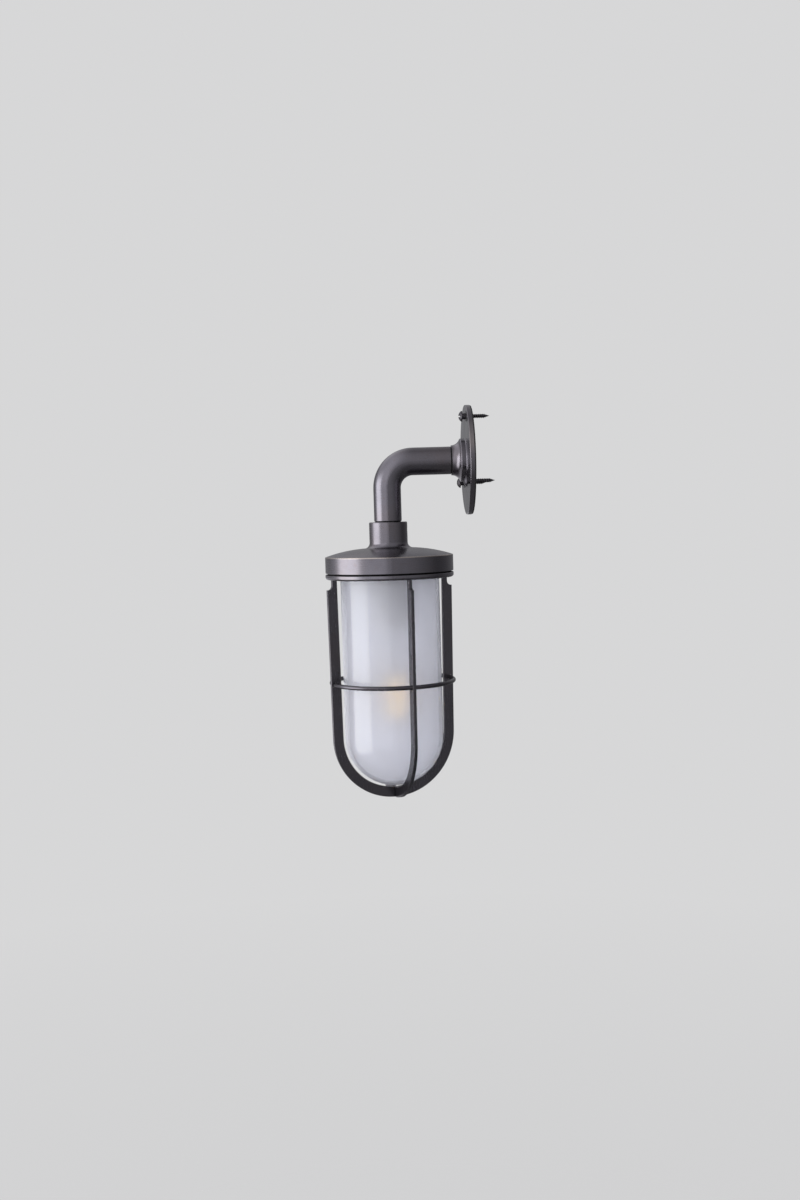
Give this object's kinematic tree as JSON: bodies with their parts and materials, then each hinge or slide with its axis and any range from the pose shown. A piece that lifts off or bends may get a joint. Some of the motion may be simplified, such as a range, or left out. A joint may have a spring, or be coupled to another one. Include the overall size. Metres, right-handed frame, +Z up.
{
  "type": "well glass wall light",
  "caption": "Wall light with a right-angled tube bracket, a domed cap and a frosted well glass held in a ribbed guard that screws into the cap.",
  "frame": {"origin": "on the wall plane behind the gasket, on the axis of the arm and the plate", "axes": "+Y points into the wall, so the light stands out along -Y; +Z is up; +X is to the right of someone who faces the wall"},
  "size_m": [0.1186, 0.1554, 0.3612],
  "materials": {
    "bronze": "dark bronze patina, satin, on cast and drawn brass",
    "bronze_screw": "dark bronze patina, satin",
    "rubber": "matte black",
    "frosted_glass": "smooth outside, etched white inside",
    "zinc_steel": "bright zinc plated",
    "brass_bright": "bare, bright",
    "porcelain": "white glaze",
    "lamp_nickel": "nickel plated shell",
    "lamp_solder": "soft solder",
    "lamp_black": "black vitrite",
    "lamp_glass": "clear",
    "lamp_wire": "bright wire",
    "lamp_filament": "yellow phosphor coat"
  },
  "bodies": {
    "fitting": {"arm_locknut": "zinc_steel", "arm_socket": "bronze", "bracket_arm": "bronze", "cable_grommet": "rubber", "cap": "bronze", "collar_screw": "bronze_screw", "earth_screw": "brass_bright", "holder_nipple": "zinc_steel", "holder_nut": "zinc_steel", "holder_stirrup": "zinc_steel", "lampholder_body": "porcelain", "lampholder_contact": "brass_bright", "lampholder_shell": "brass_bright", "lampholder_terminals": "brass_bright", "socket_backnut": "zinc_steel", "terminal_screws": "zinc_steel", "wall_gasket": "rubber", "wall_plate": "bronze", "wall_screws": "bronze_screw"},
    "glass": {"well_glass": "frosted_glass", "glass_gasket": "rubber"},
    "guard": {"guard_ring": "bronze", "guard_seat": "rubber", "guard_hoop_side": "bronze", "guard_hoop_front": "bronze", "guard_band": "bronze"},
    "lamp_tip": {"lamp_contact": "lamp_solder"},
    "lamp": {"lamp_cap": "lamp_nickel", "lamp_insulator": "lamp_black", "lamp_envelope": "lamp_glass", "lamp_stem": "lamp_glass", "lamp_supports": "lamp_wire", "lamp_filaments": "lamp_filament"}
  },
  "joints": [
    {"name": "glass_drop", "type": "slide", "parent": "fitting", "child": "glass", "axis": [0, 0, -1], "range_m": [0, 0.0075]},
    {"name": "guard_turn", "type": "hinge", "parent": "glass", "child": "guard", "pos_m": [0, -0.0782, -0.1022], "axis": [0, 0, -1], "range_deg": [0, 1080]},
    {"name": "lamp_drop", "type": "slide", "parent": "fitting", "child": "lamp_tip", "axis": [0, 0, -1], "range_m": [0, 0.01089]},
    {"name": "lamp_turn", "type": "hinge", "parent": "lamp_tip", "child": "lamp", "pos_m": [0, -0.0782, -0.1527], "axis": [0, 0, -1], "range_deg": [0, 1080]}
  ],
  "couplings": [
    {"joint": "glass_drop", "follows": "guard_turn", "m_per_rad": 0.00039789},
    {"joint": "lamp_drop", "follows": "lamp_turn", "m_per_rad": 0.00057773}
  ]
}
